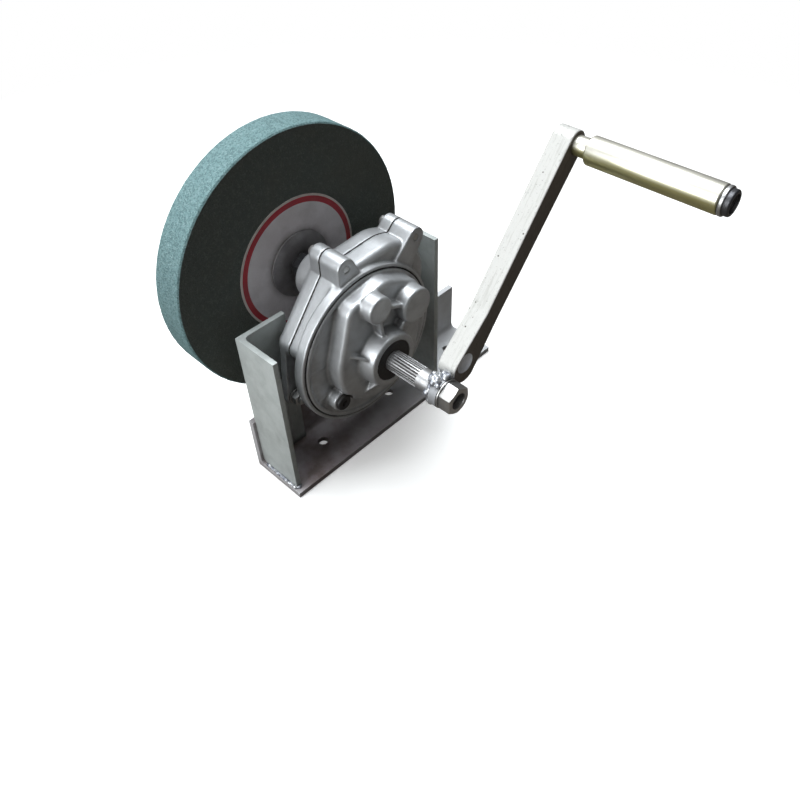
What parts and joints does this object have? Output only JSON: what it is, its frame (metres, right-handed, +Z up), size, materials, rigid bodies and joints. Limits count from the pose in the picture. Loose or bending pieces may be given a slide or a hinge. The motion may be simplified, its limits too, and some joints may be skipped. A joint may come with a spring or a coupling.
{
  "type": "hand crank bench grinder",
  "caption": "Hand cranked bench grinder: wheel on a step-up gearbox held between two angle iron posts on an angle iron base, with a tapered crank arm and turning grip.",
  "frame": {"origin": "on the base's underside, below the crank axis, in line with the posts' front edges", "axes": "+X along the base towards its foot, +Y from the crank towards the grinding wheel, +Z up"},
  "size_m": [0.3155, 0.3566, 0.312],
  "materials": {
    "base_paint": "worn matte paint",
    "post_paint": "worn pale paint",
    "weld": "lumpy, heat-tinted",
    "zinc_steel": "zinc plated",
    "cast_alloy": "fine as-cast",
    "gasket": "matte",
    "black_oxide": "black oxide",
    "plug_plastic": "matte",
    "seal_rubber": "matte",
    "ground_steel": "ground",
    "gear_steel": "machined",
    "brass": "drawn",
    "arm_zinc": "pale zinc with dark pits",
    "grip_zinc": "yellow zinc plated tube",
    "wheel_grit": "coarse bonded grain",
    "label_paper": "matte printed",
    "flange_steel": "dark turned"
  },
  "bodies": {
    "frame": {"base_angle": "base_paint", "left_post": "post_paint", "right_post": "post_paint", "post_welds": "weld", "mounting_bolts": "zinc_steel", "mounting_nuts": "zinc_steel", "mounting_washers": "zinc_steel", "rear_casing": "cast_alloy", "front_casing": "cast_alloy", "front_cover": "cast_alloy", "casing_gasket": "gasket", "cover_gasket": "gasket", "casing_screws": "zinc_steel", "cover_screws": "black_oxide", "filler_plug": "plug_plastic", "crank_seal": "seal_rubber", "spindle_seal": "seal_rubber", "crank_bearing_outer_rings": "ground_steel", "layshaft_bearing_outer_rings": "ground_steel", "spindle_bearing_outer_ring": "ground_steel", "spindle_bush": "brass"},
    "crank": {"crank_shaft": "ground_steel", "crank_gear": "gear_steel", "crank_key": "gear_steel", "crank_circlip": "black_oxide", "crank_bearing_inner_rings": "ground_steel", "crank_arm": "arm_zinc", "hub_weld": "weld", "crank_washer": "zinc_steel", "crank_nut": "zinc_steel", "grip_bolt": "black_oxide", "grip_collar": "grip_zinc", "grip_washer": "zinc_steel"},
    "grip": {"grip_sleeve": "grip_zinc"},
    "layshaft": {"layshaft": "gear_steel", "layshaft_gear": "gear_steel", "layshaft_key": "gear_steel", "layshaft_spacer": "ground_steel", "layshaft_bearing_inner_rings": "ground_steel"},
    "wheel": {"spindle": "ground_steel", "spindle_bearing_inner_ring": "ground_steel", "inner_nut": "black_oxide", "inner_flange": "flange_steel", "wheel_bush": "ground_steel", "grinding_wheel": "wheel_grit", "front_wheel_label": "label_paper", "rear_wheel_label": "label_paper", "outer_flange": "flange_steel", "outer_nut": "zinc_steel"},
    "crank_cages": {"crank_bearing_balls": "ground_steel", "crank_bearing_cages": "brass"},
    "layshaft_cages": {"layshaft_bearing_balls": "ground_steel", "layshaft_bearing_cages": "brass"},
    "spindle_cage": {"spindle_bearing_balls": "ground_steel", "spindle_bearing_cage": "brass"}
  },
  "joints": [
    {"name": "crank_turn", "type": "hinge", "parent": "frame", "child": "crank", "pos_m": [0, 0, 0.128], "axis": [0, 1, 0], "continuous": true},
    {"name": "grip_spin", "type": "hinge", "parent": "crank", "child": "grip", "pos_m": [0.1551, 0, 0.295], "axis": [0, 1, 0], "continuous": true},
    {"name": "layshaft_turn", "type": "hinge", "parent": "frame", "child": "layshaft", "pos_m": [0.03478, 0, 0.16732], "axis": [0, 1, 0], "continuous": true},
    {"name": "spindle_turn", "type": "hinge", "parent": "frame", "child": "wheel", "pos_m": [-0.009, 0, 0.187], "axis": [0, 1, 0], "continuous": true},
    {"name": "crank_cage_turn", "type": "hinge", "parent": "frame", "child": "crank_cages", "pos_m": [0, 0, 0.128], "axis": [0, 1, 0], "continuous": true},
    {"name": "layshaft_cage_turn", "type": "hinge", "parent": "frame", "child": "layshaft_cages", "pos_m": [0.03478, 0, 0.16732], "axis": [0, 1, 0], "continuous": true},
    {"name": "spindle_cage_turn", "type": "hinge", "parent": "frame", "child": "spindle_cage", "pos_m": [-0.009, 0, 0.187], "axis": [0, 1, 0], "continuous": true}
  ],
  "couplings": [
    {"joint": "layshaft_turn", "follows": "crank_turn", "ratio": -4},
    {"joint": "spindle_turn", "follows": "crank_turn", "ratio": 12},
    {"joint": "crank_cage_turn", "follows": "crank_turn", "ratio": 0.39758},
    {"joint": "layshaft_cage_turn", "follows": "crank_turn", "ratio": -1.524},
    {"joint": "spindle_cage_turn", "follows": "crank_turn", "ratio": 4.5789}
  ]
}
